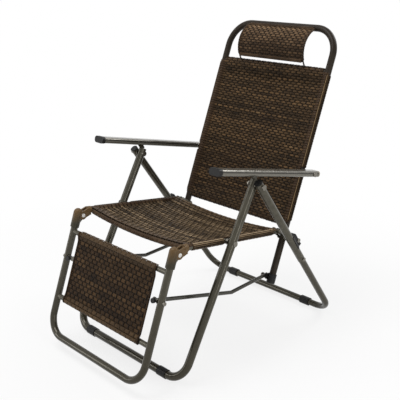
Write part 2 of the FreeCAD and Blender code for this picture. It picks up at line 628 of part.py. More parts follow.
# Link rods
long = chord.Length
bend = Vec(0, size("rod_bend"), -size("rod_sag"))
ahead = Vec(bend).normalize()
behind = (Vec(0, long, 0) - bend).normalize()
nose = ahead * -size("rod_over")
tip = Vec(0, long, 0) + behind * 10
link = fuse(strut("rod_od / 2", nose, bend, "rod_x"), strut("rod_od / 2", bend, tip, "rod_x"),
            ball("rod_od / 2", "rod_x", "rod_bend", "-rod_sag"))
link = cut(link, drill(HOLE, "0", "0"), drill(HOLE, str(long), "0"))
sides("link_rod", link, LINK)
cap_end = nose - ahead * 3
pair("link_end_caps", cut(strut("rod_od / 2 + 1.6", cap_end, nose + ahead * 3, "rod_x"),
                          strut("rod_od / 2 + fit", nose - ahead * 0.05, bend, "rod_x")), LINK)

# Armrest channel
slide_at = local(ARM, ARM_PIN)


def oval(body, wide, high, corner, length, name):
    face = sketch_on(body, "XZ_Plane", name)
    w, h, r = 15, 8, 4
    corners = ((w - r, h - r, 0), (r - w, h - r, 1), (r - w, r - h, 2), (w - r, r - h, 3))
    for x, z, quarter in corners:
        face.addGeometry(Part.ArcOfCircle(Part.Circle(Vec(x, z, 0), Vec(0, 0, 1), r),
                                          quarter * math.pi / 2, (quarter + 1) * math.pi / 2))
    ends = ((w - r, h, r - w, h), (-w, h - r, -w, r - h), (r - w, -h, w - r, -h), (w, r - h, w, h - r))
    for x0, z0, x1, z1 in ends:
        face.addGeometry(Part.LineSegment(Vec(x0, z0, 0), Vec(x1, z1, 0)))
    for index in range(4):
        face.addConstraint(Sketcher.Constraint("Tangent", index, 2, 4 + index, 1))
        face.addConstraint(Sketcher.Constraint("Tangent", 4 + index, 2, (index + 1) % 4, 1))
    for index in (1, 2, 3):
        face.addConstraint(Sketcher.Constraint("Equal", 0, index))
    face.addConstraint(Sketcher.Constraint("Horizontal", 4))
    face.addConstraint(Sketcher.Constraint("Vertical", 5))
    face.addConstraint(Sketcher.Constraint("Horizontal", 6))
    face.addConstraint(Sketcher.Constraint("Vertical", 7))
    face.addConstraint(Sketcher.Constraint("Symmetric", 4, 1, 6, 1, -1, 1))
    dimension(face, "corner", corner, "Radius", 0, r)
    dimension(face, "wide", wide, "DistanceX", 5, 1, 7, 2, 2 * w)
    dimension(face, "high", high, "DistanceY", 6, 2, 4, 1, 2 * h)
    doc.recompute()
    pad = body.newObject("PartDesign::Pad", name + "Pad")
    pad.Profile = face
    bind(pad, "Length", length)
    doc.recompute()
    return pad


def oval_bar(name, wide, high, corner, length, end):
    body = doc.addObject("PartDesign::Body", name)
    oval(body, wide, high, corner, length, name + "Face")
    body.Placement = shift(size("arm_x"), size_of(end), 0)
    return body


inner = ("arm_wide - 2 * arm_wall", "arm_high - 2 * arm_wall", "arm_round - arm_wall")
outer = ("arm_wide", "arm_high", "arm_round")
channel_long = "arm_front + arm_back - 8"
channel = cut(oval_bar("ArmOuter", *outer, channel_long, "arm_back - 4"),
              oval_bar("ArmInner", *inner, channel_long, "arm_back - 4"),
              block("slot_wide", "slot_end - slot_start", "arm_high / 2",
                    "front_half - slot_wide / 2", "-slot_end", "-arm_high / 2 - 1"),
              drill(HOLE, "0", "0", "arm_x - arm_wide", "2 * arm_wide"))
sides("armrest", channel, ARM)
hood = ("arm_wide + 3", "arm_high + 3", "arm_round + 1.5")
room = ("arm_wide + gap", "arm_high + gap", "arm_round + gap / 2")
front_cap = cut(oval_bar("CapOuter", *hood, "arm_cap", "arm_cap - arm_front"),
                oval_bar("CapInner", *room, "arm_cap - 4 + fit", "arm_cap - arm_front"))
pair("armrest_front_caps", front_cap, ARM)
plug_face = ("arm_wide - 2 * arm_wall - 2 * fit", "arm_high - 2 * arm_wall - 2 * fit",
             "arm_round - arm_wall - fit")
rear_cap = fuse(oval_bar("EndOuter", *outer, "4 - fit", "arm_back"),
                oval_bar("EndInner", *plug_face, "16", "arm_back - 2"))
pair("armrest_rear_caps", rear_cap, ARM)
arm_bolt = bolt(BOLT, "arm_x - arm_wide / 2 - arm_gap + 0.5", "arm_x + arm_wide / 2 + fit", "2.5", "0", "0")
pair("arm_pivot_bolts", arm_bolt, ARM)

# Slider on the tongue's pin, and the notched rack beside it
low_wall = "arm_high / 2 - arm_wall - 0.5"
slider_y = str(slide_at.y)
slider_left = "arm_x - arm_wide / 2 + arm_wall + arm_round * 0.62"
slider = block("15", "28", f"2 * ({low_wall})", slider_left, f"{slider_y} - 14", f"-({low_wall})")
slider = cut(slider, block("tongue + 0.8", "30", f"2 * ({low_wall}) - 1.1", "front_half - tongue / 2 - 0.4",
                           f"{slider_y} - 15", f"-({low_wall})"),
             drill("pin_d / 2 + fit", slider_y, "0"))
sides("arm_slider", slider, ARM)
pair("arm_pins", rod("x", "pin_d / 2", "28", "front_half - 9", slider_y, "0"), ARM)
rack = block("7.5", "slot_end - slot_start - 8", "arm_high / 2 - arm_wall - 1.5 - pin_d / 2",
             "front_half + 11", "4 - slot_end", "pin_d / 2 + 1.2")
notches = [rod("x", "pin_d / 2 + 0.6", "20", "front_half + 8",
               f"{slider_y} - {step} * rack_pitch", "1.8")
           for step in range(int(size("rack_steps")))]
pair("arm_racks", cut(rack, *notches), ARM)

# Check and write every node
doc.recompute()
wrong = [item.Label for item in doc.Objects if {"Invalid", "Error"} & set(item.State)]
os.makedirs("parts", exist_ok=True)
for item in parts:
    shape = item.Shape
    if shape.isNull() or not shape.isValid() or not shape.Solids:
        wrong.append(item.Label)
        continue
    shape.exportStep(f"parts/{item.Label}.step")
    print(item.Label, len(shape.Solids), round(shape.Volume))
if wrong:
    raise RuntimeError("not built: " + ", ".join(wrong))
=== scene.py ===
import bpy
import json
import math
import random
import numpy as np
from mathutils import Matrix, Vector


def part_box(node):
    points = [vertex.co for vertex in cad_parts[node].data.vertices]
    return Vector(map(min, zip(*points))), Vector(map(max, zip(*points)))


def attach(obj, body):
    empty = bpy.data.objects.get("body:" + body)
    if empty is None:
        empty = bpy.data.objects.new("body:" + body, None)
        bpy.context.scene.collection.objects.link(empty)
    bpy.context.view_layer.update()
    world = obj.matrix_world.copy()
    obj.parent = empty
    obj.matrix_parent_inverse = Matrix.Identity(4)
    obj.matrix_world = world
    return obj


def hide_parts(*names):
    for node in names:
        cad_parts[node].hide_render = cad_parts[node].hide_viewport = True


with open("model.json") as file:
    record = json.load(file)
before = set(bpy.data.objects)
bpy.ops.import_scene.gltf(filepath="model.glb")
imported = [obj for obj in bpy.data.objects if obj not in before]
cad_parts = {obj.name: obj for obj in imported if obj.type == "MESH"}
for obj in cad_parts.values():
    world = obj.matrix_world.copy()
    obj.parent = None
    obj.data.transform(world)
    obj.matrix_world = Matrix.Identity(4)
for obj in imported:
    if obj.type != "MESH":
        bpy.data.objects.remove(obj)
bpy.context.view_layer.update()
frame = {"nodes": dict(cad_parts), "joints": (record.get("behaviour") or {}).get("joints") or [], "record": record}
nodes = frame["nodes"]
joints = {joint["name"]: joint for joint in frame["joints"]}
print("frame loaded:", len(nodes), "nodes")

scene = bpy.context.scene
scene.view_settings.view_transform = "Standard"


# Shader helper
class Wire:  # one socket of a node tree, with arithmetic
    def __init__(self, tree, socket=None):
        self.tree = tree
        self.socket = socket

    def add(self, kind, settings=None, inputs=None, out=0):  # any node: settings first, then sockets
        made = self.tree.nodes.new(kind)
        for key, value in (settings or {}).items():
            if key == "stops":
                ramp = made.color_ramp.elements
                while len(ramp) < len(value):
                    ramp.new(0.5)
                for stop, (place, colour) in zip(ramp, value):
                    stop.position = place
                    stop.color = (*colour, 1)
            else:
                setattr(made, key, value)
        for key, value in (inputs or {}).items():
            if isinstance(value, Wire):
                self.tree.links.new(value.socket, made.inputs[key])
            else:
                made.inputs[key].default_value = value
        return Wire(self.tree, made.outputs[out] if made.outputs else None)

    def maths(self, operation, first, second=0.0):
        return self.add("ShaderNodeMath", {"operation": operation}, {0: first, 1: second})

    def __add__(self, other):
        return self.maths("ADD", self, other)

    def __radd__(self, other):
        return self.maths("ADD", other, self)

    def __sub__(self, other):
        return self.maths("SUBTRACT", self, other)

    def __rsub__(self, other):
        return self.maths("SUBTRACT", other, self)

    def __mul__(self, other):
        return self.maths("MULTIPLY", self, other)

    def __rmul__(self, other):
        return self.maths("MULTIPLY", other, self)

    def __lt__(self, other):
        return self.maths("LESS_THAN", self, other)

    def __gt__(self, other):  # Python's reflected form of <
        return self.maths("GREATER_THAN", self, other)

    def __abs__(self):
        return self.maths("ABSOLUTE", self)

    def sin(self):
        return self.maths("SINE", self)

    def clamp(self):  # kept between 0 and 1
        return self.add("ShaderNodeClamp", None, {0: self})


def newFinish(name):
    made = bpy.data.materials.new(name)
    made.use_nodes = True
    made.node_tree.nodes.clear()
    return made, Wire(made.node_tree)


def blendColours(w, amount, first, second):
    return w.add("ShaderNodeMix", {"data_type": "RGBA"}, {0: amount, 6: first, 7: second}, out=2)


def closeFinish(w, inputs):
    shader = w.add("ShaderNodeBsdfPrincipled", None, inputs)
    w.add("ShaderNodeOutputMaterial", None, {"Surface": shader})


def noise(w, where, scale, detail=3.0):
    return w.add("ShaderNodeTexNoise", None, {"Vector": where, "Scale": scale, "Detail": detail})


def raised(w, height, grain):  # bump from a height
    return w.add("ShaderNodeBump", None,
                 {"Strength": grain["bump"], "Distance": grain["deep"], "Height": height})


def objectPlace(w):
    return w.add("ShaderNodeTexCoord", out=3)


# Painted tubes
legPaint = {"light": (0.06, 0.053, 0.035, 1), "dark": (0.032, 0.028, 0.018, 1),
            "worn": (0.16, 0.148, 0.112, 1), "rough": 0.1, "metal": 0.35, "shine": 0.3, "coat": 0.05}
# the back frame, its upper bar and the headrest wires take a darker copy of the leg paint: painted shade on the
# less lit upper frame
backPaintShaded = {"light": (0.03, 0.022, 0.015, 1), "dark": (0.016, 0.012, 0.008, 1),
             "worn": (0.075, 0.058, 0.042, 1), "rough": 0.3, "metal": 0.0, "shine": 0.12, "coat": 0.0}
rodPaint = {"light": (0.06, 0.057, 0.046, 1), "dark": (0.034, 0.032, 0.026, 1),
            "worn": (0.12, 0.114, 0.095, 1), "rough": 0.1, "metal": 0.3, "shine": 0.3, "coat": 0.05}
armMetal = {"light": (0.076, 0.071, 0.056, 1), "dark": (0.046, 0.043, 0.034, 1),
            "worn": (0.36, 0.34, 0.3, 1), "rough": 0.16, "metal": 0.4, "shine": 0.22, "coat": 0.05,
            # the band is painted light on the lit lower part, the groove colour is painted shade
            "litBand": (0.17, 0.16, 0.133, 1), "grooveShade": (0.014, 0.012, 0.01, 1),
            "groove": 0.00225, "grooveHalf": 0.0014, "grooveShare": 0.9, "grooveDeep": 4.0}
paintGrain = {"cloud": 9.0, "speck": 900.0, "speckHigh": 0.5, "rub": 60.0, "rubFrom": 0.53, "rubGain": 6.0,
              "roughSpread": 0.1, "bump": 0.12, "deep": 0.0004}
armAlong = Vector(joints["arm_slide"]["axis"])
armUp = Vector((0, -armAlong.z, armAlong.y))
armMiddle = armUp.dot(Vector(joints["arm_slider_turn"]["pos_m"]))  # level of the slider inside the armrest


def tubePaint(name, paint):
    made, w = newFinish(name)
    where = objectPlace(w)
    cloud = noise(w, where, paintGrain["cloud"])
    speck = noise(w, where, paintGrain["speck"], 1.0)
    colour = blendColours(w, cloud, paint["dark"], paint["light"])
    edge = w.add("ShaderNodeNewGeometry", out=7)  # pointiness shows rubbed edges
    rubbed = (edge - paintGrain["rubFrom"]) * paintGrain["rubGain"] * noise(w, where, paintGrain["rub"])
    colour = blendColours(w, rubbed.clamp(), colour, paint["worn"])
    height = speck * paintGrain["speckHigh"]
    if "groove" in paint:  # a rolled groove runs along both sides of each armrest, painted dark as its shade, over a lower band painted lighter as lit
        level = w.add("ShaderNodeVectorMath", {"operation": "DOT_PRODUCT"}, {0: where, 1: armUp}, out=1)
        rise = level - armMiddle
        groove = abs(rise - paint["groove"]) < paint["grooveHalf"]
        # painted light below the groove, painted shade in it
        colour = blendColours(w, rise < paint["groove"], colour, paint["litBand"])
        colour = blendColours(w, groove * paint["grooveShare"], colour, paint["grooveShade"])
        height = height - groove * paint["grooveDeep"]
    closeFinish(w, {"Base Color": colour, "Roughness": paint["rough"] + cloud * paintGrain["roughSpread"],
                    "Metallic": paint["metal"], "Specular IOR Level": paint["shine"],
                    "Coat Weight": paint["coat"], "Normal": raised(w, height, paintGrain)})
    return made


# Moulded plastic
blackPlastic = {"dark": (0.009, 0.009, 0.009, 1), "light": (0.02, 0.019, 0.018, 1), "rough": 0.36}
hingeBrown = {"dark": (0.098, 0.058, 0.024, 1), "light": (0.175, 0.108, 0.048, 1), "rough": 0.3}
kneeCap = {**hingeBrown, "sleeve": (0.385, 0.425)}  # heights between which the tube's paint gives way
rollerNylon = {"dark": (0.4, 0.34, 0.25, 1), "light": (0.5, 0.44, 0.34, 1), "rough": 0.45}
# near-white rivets: a painted highlight where the hinge rivets catch the light
rivetGlint = {"dark": (0.72, 0.7, 0.66, 1), "light": (0.86, 0.84, 0.8, 1), "rough": 0.25}
plasticGrain = {"cloud": 24.0, "grain": 1400.0, "roughSpread": 0.12, "shine": 0.18, "bump": 0.18,
                "deep": 0.0003}


def mouldedPlastic(name, plastic):
    made, w = newFinish(name)
    where = objectPlace(w)
    cloud = noise(w, where, plasticGrain["cloud"])
    grain = noise(w, where, plasticGrain["grain"], 2.0)
    colour = blendColours(w, cloud, plastic["dark"], plastic["light"])
    if "sleeve" in plastic:  # the lower part of the cap is painted like the tube it sits on
        height = w.add("ShaderNodeSeparateXYZ", None, {0: where}, out=2)
        low, high = plastic["sleeve"]
        painted = w.add("ShaderNodeMapRange", None, {0: height, 1: low, 2: high, 3: 1.0, 4: 0.0})
        colour = blendColours(w, painted, colour, blendColours(w, cloud, legPaint["dark"], legPaint["light"]))
    closeFinish(w, {"Base Color": colour, "Roughness": plastic["rough"] + grain * plasticGrain["roughSpread"],
                    "Specular IOR Level": plasticGrain["shine"], "Normal": raised(w, grain, plasticGrain)})
    return made


# Bolts, rivets and pins
boltMetal = {"dark": (0.13, 0.12, 0.1, 1), "light": (0.26, 0.245, 0.21, 1), "brush": (40.0, 900.0, 900.0),
             "rough": 0.22, "roughSpread": 0.2, "metal": 0.9}


def boltSteel(name, steel):
    made, w = newFinish(name)
    brush = w.add("ShaderNodeVectorMath", {"operation": "MULTIPLY"}, {0: objectPlace(w), 1: steel["brush"]})
    brushed = noise(w, brush, 1.0)
    closeFinish(w, {"Base Color": blendColours(w, brushed, steel["dark"], steel["light"]),
                    "Roughness": steel["rough"] + brushed * steel["roughSpread"], "Metallic": steel["metal"]})
    return made


slotFinish = {
    "frame_paint": tubePaint("frame_paint", legPaint),
    "black_plastic": mouldedPlastic("black_plastic", blackPlastic),
    "brown_plastic": mouldedPlastic("brown_plastic", hingeBrown),
    "nylon": mouldedPlastic("nylon", rollerNylon),
    "hardware": boltSteel("hardware", boltMetal),
}
pieceFinish = {  # pieces whose finish isn't their slot's own
    mouldedPlastic("knee_cap", kneeCap): ("foot_knuckle_left", "foot_knuckle_right"),
    mouldedPlastic("rivetGlint", rivetGlint): ("hinge_rivets",),
    tubePaint("arm_metal", armMetal): ("armrest_left", "armrest_right"),
    tubePaint("rod_paint", rodPaint): ("link_rod_left", "link_rod_right"),
    tubePaint("back_paint_shaded", backPaintShaded): ("backrest_frame", "backrest_upper_bar", "headrest_wires"),
}
ownFinish = {name: finish for finish, names in pieceFinish.items() for name in names}
slotOf = {item["node"]: item["material_slot"] for item in frame["record"]["subparts"]}
for name, piece in nodes.items():
    bySlot = slotFinish.get(slotOf[name], slotFinish["frame_paint"])
    piece.data.materials.clear()
    piece.data.materials.append(ownFinish.get(name, bySlot))
print("CAD finishes set")

# Woven strands
strandLayers = ("tone", "along", "across", "dip")
strand = {"fibre": (70.0, 400.0, 2.6), "patch": (16.0, 173.0), "toneShare": 0.3, "patchShare": 0.9,
          "fibreShare": 0.5, "shift": 0.36, "tiedShare": 0.75, "edgeGain": 5.5, "edgeFrom": 1.3,
          # the darkest colour here is the painted shade between strands
          "tiedShadeCut": 0.7, "paintedShade": (0.005, 0.0036, 0.0026, 1), "ridges": 14.0, "ridgeHigh": 0.4,
          "rough": 0.5, "roughSpread": 0.2, "shine": 0.1, "bump": 0.3, "deep": 0.0005}


def strandFinish(name, plan):  # tied: colour of the turns; the other three keys set the painted shade at strand edges, at crossings and where a strand runs below
    made, w = newFinish(name)
    tone, along, across, dip = [w.add("ShaderNodeAttribute", {"attribute_name": key}, out=2)
                                for key in strandLayers]
    fine, broad = strand["fibre"], strand["patch"]
    thread = w.add("ShaderNodeCombineXYZ", None, {0: along * fine[0], 1: tone * fine[1], 2: across * fine[2]})
    fibre = noise(w, thread, 1.0)
    patch = noise(w, w.add("ShaderNodeCombineXYZ", None, {0: along * broad[0], 1: tone * broad[1]}), 1.0)
    mixed = tone * strand["toneShare"] + patch * strand["patchShare"] + fibre * strand["fibreShare"]
    colour = w.add("ShaderNodeValToRGB", {"stops": plan["shades"]}, {0: mixed - strand["shift"]})
    wrapped = (-1.0 - dip).clamp()
    colour = blendColours(w, wrapped * strand["tiedShare"], colour, plan["tied"])
    # painted shade: each strand darkens towards its edges, at crossings and where it runs below, where shade falls
    # between strands
    edge = (abs(across) * strand["edgeGain"] - strand["edgeFrom"]).clamp()
    crossing = (1.0 - abs(dip)).clamp()  # painted shade where a strand dives under
    shadeAmount = plan["edgeShade"] + crossing * plan["crossShade"] - wrapped * (plan["edgeShade"] * strand["tiedShadeCut"])
    paintedShade = edge * shadeAmount + dip.clamp() * plan["sunk"]
    colour = blendColours(w, paintedShade.clamp(), colour, strand["paintedShade"])
    ridge = (across * strand["ridges"]).sin() * strand["ridgeHigh"] + fibre
    spread = strand["roughSpread"]
    closeFinish(w, {"Base Color": colour, "Roughness": strand["rough"] + fibre * spread - wrapped * spread,
                    "Specular IOR Level": strand["shine"], "Normal": raised(w, ridge, strand)})
    return made


def turned(origin, degrees):  # from a tilted side-view frame to the part's frame, metres
    c, s = math.cos(math.radians(degrees)), math.sin(math.radians(degrees))

    def toWorld(points):
        p = np.asarray(points, float)
        return np.stack([p[:, 0], origin[1] + p[:, 1] * c - p[:, 2] * s,
                         origin[2] + p[:, 1] * s + p[:, 2] * c], axis=1)
    return toWorld


lean = {"seat": -7.9, "back": -21.0, "foot": -19.8}
seatPivot = [(low + high) / 2 for low, high in zip(*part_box("seat_pivot_bolts"))]
seatFrame = turned(seatPivot, lean["seat"])
backFrame = turned(joints["recline"]["pos_m"], lean["back"])
footFrame = turned(joints["footrest_turn"]["pos_m"], lean["foot"])

# A strand's lens section in shares of its width and thickness, its last two corners on the far side
strandSection = [(-0.5, 0.0), (-0.32, 0.42), (0.0, 0.5), (0.32, 0.42), (0.5, 0.0),
                 (0.32, -0.42), (-0.32, -0.42)]
farCorners = slice(5, None)


def unit(v):
    return v / np.maximum(np.linalg.norm(v, axis=1, keepdims=True), 1e-12)


class Loom:  # gathers the strands of one panel into one mesh
    def __init__(self, name, seed):
        self.name = name
        self.chance = random.Random(seed)
        self.verts, self.faces = [], []
        self.layers = {key: [] for key in strandLayers}
        self.count = 0

    def lay(self, points, outward, width, thick, tone, dip, far=None):  # far: tone and dip of the far side
        run = unit(np.gradient(points, axis=0))
        side = unit(np.cross(outward, run))
        up = np.cross(run, side)
        total, ring = len(points), len(strandSection)
        shareWide, shareHigh = np.array(strandSection).T
        wide = shareWide * np.broadcast_to(np.asarray(width, float), total)[:, None]
        high = shareHigh * thick
        corners = points[:, None, :] + side[:, None, :] * wide[:, :, None]
        corners = corners + up[:, None, :] * high[None, :, None]
        self.verts.append(corners.reshape(-1, 3))
        first, end = self.count, self.count + total * ring
        for base in range(first, end - ring, ring):
            for j in range(ring):
                k = (j + 1) % ring
                self.faces.append((base + j, base + ring + j, base + ring + k, base + k))
        self.faces.append(tuple(range(first, first + ring)))
        self.faces.append(tuple(reversed(range(end - ring, end))))
        length = np.concatenate([[0], np.cumsum(np.linalg.norm(np.diff(points, axis=0), axis=1))])
        shade = np.full((total, ring), self.chance.random() if tone is None else tone)
        depth = np.repeat(dip, ring).reshape(total, ring)
        if far:
            shade[:, farCorners] = far[0]
            depth[:, farCorners] = far[1][:, None]
        self.layers["tone"].append(shade.ravel())
        self.layers["along"].append(np.repeat(length, ring))
        self.layers["across"].append(np.tile(shareWide, total))
        self.layers["dip"].append(depth.ravel())
        self.count = end

    def finish(self, material, body, replaced):
        mesh = bpy.data.meshes.new(self.name)
        mesh.from_pydata(np.concatenate(self.verts).tolist(), [], self.faces)
        for key, values in self.layers.items():
            layer = mesh.attributes.new(key, "FLOAT", "POINT")
            layer.data.foreach_set("value", np.concatenate(values).astype(np.float32))
        mesh.polygons.foreach_set("use_smooth", [True] * len(mesh.polygons))
        mesh.materials.append(material)
        piece = bpy.data.objects.new(self.name, mesh)
        scene.collection.objects.link(piece)
        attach(piece, body)
        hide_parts(replaced)
        print(self.name, "woven:", self.count, "points")


def circleRun(start, end, step=24.0):  # angles of a turn, given in degrees
    return np.radians(np.linspace(start, end, max(2, int(abs(end - start) / step) + 1)))


def strandWave(flat, phase, pitch, over):  # over and under along a strand's run, -1 to 1
    return over * np.cos(math.pi * (flat - phase) / pitch)


def hollow(x, half, sag):  # height of a sagging arc, 0 at both ends
    radius = (half ** 2 + sag ** 2) / (2 * sag)
    return radius - sag - np.sqrt(radius ** 2 - np.asarray(x, float) ** 2)


def edgeGrid(low, high, pitch):  # centres of evenly spread strands
    count = max(2, int(round((high - low) / pitch)))
    step = (high - low) / count
    return low + step * (np.arange(count) + 0.5), step


def hooked(angles, ring, low, high, flat, off, up):  # a strand with a turn at both ends: run, height, outward
    c, d = np.cos(angles), np.sin(angles)
    run = np.concatenate([low + ring * c, flat, high - ring * c[::-1]])
    outRun = np.concatenate([c, np.zeros(len(flat)), -c[::-1]])
    return run, np.concatenate([ring * d, off, ring * d[::-1]]), outRun, np.concatenate([d, up, d[::-1]])


def asArrays(*values):
    return np.broadcast_arrays(*[np.asarray(v, float) for v in values])


# Thin rows under a weave close its gaps; their dark front is painted shade seen through the gaps, their back is
# woven
core = {"tone": -0.8, "thick": 0.4, "wide": 1.08, "sunk": 0.75, "spread": 0.618, "inset": 0.0095}
tiedDip = -2  # dip of a strand where it is turned round a tube or wire
weaveFit = {"tube": 0.0002, "bar": 0.0003, "side": 0.0012, "inset": 0.002,  # room round tubes, bars and edges
            "points": 4, "corePoints": 2, "jitter": 0.0003, "fade": 0.02, "calm": 0.016, "slope": 0.0005,
            "full": (340, 20), "besideBar": (150, 48), "besideBolt": (110, 20),  # turns round a side tube
            "hook": (165, 210)}  # turn round a bar, degrees
runnerFit = {"points": 160, "end": 0.001, "sunk": 0.4, "dip": -0.5}
bindFit = {"points": 90, "turn": 0.9}


class Sling:  # a woven sheet that runs from bar to bar over their sitter's side
    def __init__(self, loom, plan, toWorld, sheetDip, barDip, upright=False):
        self.loom, self.plan, self.toWorld, self.upright = loom, plan, toWorld, upright
        self.sheetDip, self.barDip = sheetDip, barDip
        self.bend = plan["bar"] + plan["thick"] * 0.5 + plan["warpLift"] + weaveFit["bar"]
        self.deep = plan["rearBar"] - plan["frontBar"]
        self.inner = plan["half"] - plan.get("tube", 0.0) - weaveFit["side"]
        edge = self.inner - weaveFit["inset"]
        self.xs, self.stepX = edgeGrid(-edge, edge, plan["pitchAcross"])
        over = plan["over"] * self.bend
        self.ss, self.stepS = edgeGrid(-over, self.deep + over, plan["pitchAlong"])

    def weave(self):
        self.layAcross()
        self.layCore()
        self.layAlong()

    def trace(self, x, s, off):  # place and outward, s along the sheet from the front bar, off above it
        x, s = asArrays(x, s)
        run = np.clip(s, 0, self.deep)
        away = np.where(s < self.deep / 2, -1.0, 1.0)
        turn = np.abs(s - run) / self.bend
        tilt = np.arctan(self.slope(x, run)) * (turn == 0)
        outT, outH = away * np.sin(turn) - np.sin(tilt), np.cos(turn) * np.cos(tilt)
        t = self.plan["frontBar"] + run + away * self.bend * np.sin(turn)
        h = self.level(x, run) - self.bend * (1 - np.cos(turn))
        return t + off * outT, h + off * outH, outT, outH

    def level(self, x, run):  # height of the sheet, raised onto both bars
        run = np.clip(run, 0, self.deep)
        u = np.clip(np.minimum(run, self.deep - run) / self.plan["climb"], 0, 1)
        flat = self.sheetDip(x, self.plan["frontBar"] + run)
        return flat + (1 - u) ** 2 * (1 + 2 * u) * (self.barDip(x) + self.bend - flat)

    def slope(self, x, run):  # of the sheet along its run
        step = weaveFit["slope"]
        return (self.level(x, run + step) - self.level(x, run - step)) / (2 * step)

    def stretch(self, x, s):  # the sheet's length over its run, longer where it climbs
        return np.sqrt(1 + self.slope(x, s) ** 2)

    def calm(self, s, wave):  # the weave's dip, plainer towards both bars, where strands take the turns' colour and less painted shade
        far = np.minimum(s, self.deep - s) + weaveFit["calm"]
        near = np.clip(1 - far / self.plan["plain"], 0, 1)
        return np.where(near > 0, -1.0 - near, -wave)

    def busy(self, t):  # where a bolt or boss sits on the side tube
        return abs(t - self.plan["boss"]) < self.plan["bossHalf"]

    def lay(self, x, t, h, outX, outT, outH, width, dip, thick=None, tone=None, far=None):
        x, t, h, outX, outT, outH = asArrays(x, t, h, outX, outT, outH)
        place = [x, self.plan["set"] - h, t] if self.upright else [x, t, h]
        aim = [outX, -outH, outT] if self.upright else [outX, outT, outH]
        outward = self.toWorld(np.stack(aim, axis=1)) - self.toWorld([(0, 0, 0)])
        self.loom.lay(self.toWorld(np.stack(place, axis=1)), outward, width, thick or self.plan["thick"],
                      tone, dip, far)

    def tubeTurn(self, t):  # how far a strand goes round the side tube
        if not self.plan["front"] < t < self.plan["rear"]:
            return circleRun(*weaveFit["besideBar"])
        return circleRun(*weaveFit["besideBolt" if self.busy(t) else "full"])

    def layAcross(self):  # rows from side to side
        plan, hasTubes, jitter = self.plan, "tube" in self.plan, weaveFit["jitter"]
        wrap = plan.get("tube", 0.0) + plan["thick"] * 0.5 + weaveFit["tube"]
        first, last = self.xs[0] - self.stepX / 2, self.xs[-1] + self.stepX / 2
        flat = np.linspace(first, last, weaveFit["points"] * len(self.xs) + 1)
        fade = np.clip((self.inner - np.abs(flat)) / weaveFit["fade"], 0, 1) if hasTubes else 1.0
        for j, s in enumerate(self.ss):
            wave = strandWave(flat, self.xs[0], self.stepX, 1 if j % 2 else -1)
            moved = s + self.loom.chance.uniform(-jitter, jitter)
            t, h, outT, outH = self.trace(flat, moved, plan["lift"] * wave * fade)
            x, outX, wide, dip = flat, 0.0, self.stretch(flat, s), self.calm(s, wave)
            if hasTubes and 0 < s < self.deep:  # turns round both side tubes
                angles = self.tubeTurn(t[0])
                more = len(angles)
                x, h, outX, outH = hooked(angles, wrap, -plan["half"], plan["half"], flat, h, outH)
                t, wide = np.pad(t, more, mode="edge"), np.pad(wide, more, mode="edge")
                outT, dip = np.pad(outT, more), np.pad(dip, more, constant_values=tiedDip)
            self.lay(x, t, h, outX, outT, outH, self.stepS * plan["fillAcross"] * wide, dip)

    def layCore(self):  # the thin rows below, dark in front as painted shade in the gaps
        plan = self.plan
        x = np.linspace(-self.inner, self.inner, weaveFit["corePoints"] * len(self.xs) + 1)
        rows, step = edgeGrid(core["inset"], self.deep - core["inset"], plan["pitchAlong"])
        for j, s in enumerate(rows):
            t, h, outT, outH = self.trace(x, s, -plan["warpLift"] - core["sunk"] * plan["thick"])
            behind = (core["spread"] * j % 1.0, strandWave(x, self.xs[0], self.stepX, 1 if j % 2 else -1))
            self.lay(x, t, h, 0.0, outT, outH, step * core["wide"] * self.stretch(x, s), np.ones(len(x)),
                     plan["thick"] * core["thick"], core["tone"], behind)

    def layAlong(self):  # strands from bar to bar
        plan, jitter = self.plan, weaveFit["jitter"]
        first, last = self.ss[0] - self.stepS / 2, self.ss[-1] + self.stepS / 2
        hook = circleRun(*weaveFit["hook"]) * self.bend
        flat = np.linspace(first, last, weaveFit["points"] * len(self.ss) + 1)
        s = np.concatenate([-hook[::-1], flat, self.deep + hook])
        loose = ((s >= first) & (s <= last)).astype(float)
        for i, x in enumerate(self.xs):
            wave = strandWave(s, self.ss[0], self.stepS, -1 if i % 2 else 1) * loose
            t, h, outT, outH = self.trace(x, s, plan["warpLift"] * wave)
            x = x + self.loom.chance.uniform(-jitter, jitter)
            tone = self.loom.chance.uniform(*plan["warpTone"])
            self.lay(x, t, h, 0.0, outT, outH, self.stepX * plan["fillAlong"], self.calm(s, wave), tone=tone)

    def layHighlightRunners(self):  # strands along both side tubes, clear of bolts and bosses; their tones paint a highlight along each tube, darker lower round it
        plan, thick, end = self.plan, self.plan["runnerThick"], runnerFit["end"]
        stand = plan["tube"] + plan["thick"] + weaveFit["tube"] + thick * runnerFit["sunk"]
        t = np.linspace(plan["front"] + end, plan["rear"] - end, runnerFit["points"])
        runs = np.split(t, np.flatnonzero(np.diff(self.busy(t))) + 1)
        for angle, tone in plan["highlightRunners"]:
            c, d = math.cos(math.radians(angle)), math.sin(math.radians(angle))
            for run in runs:
                for side in () if self.busy(run[0]) else (-1, 1):
                    self.lay(side * (plan["half"] - stand * c), run, stand * d, -side * c, 0.0, d,
                             plan["runnerWidth"], np.full(len(run), runnerFit["dip"]), thick, tone)

    def bindEdges(self):  # dark bound edges down both sides
        plan, turn = self.plan, bindFit["turn"] * self.bend
        s = np.linspace(-turn, self.deep + turn, bindFit["points"])
        for side in (-1, 1):
            t, h, outT, outH = self.trace(side * plan["half"], s, plan["edgeLift"])
            self.lay(side * plan["half"], t, h, 0.0, outT, outH, plan["edgeWidth"], np.ones(len(s)),
                     plan["edgeThick"], 0.0)


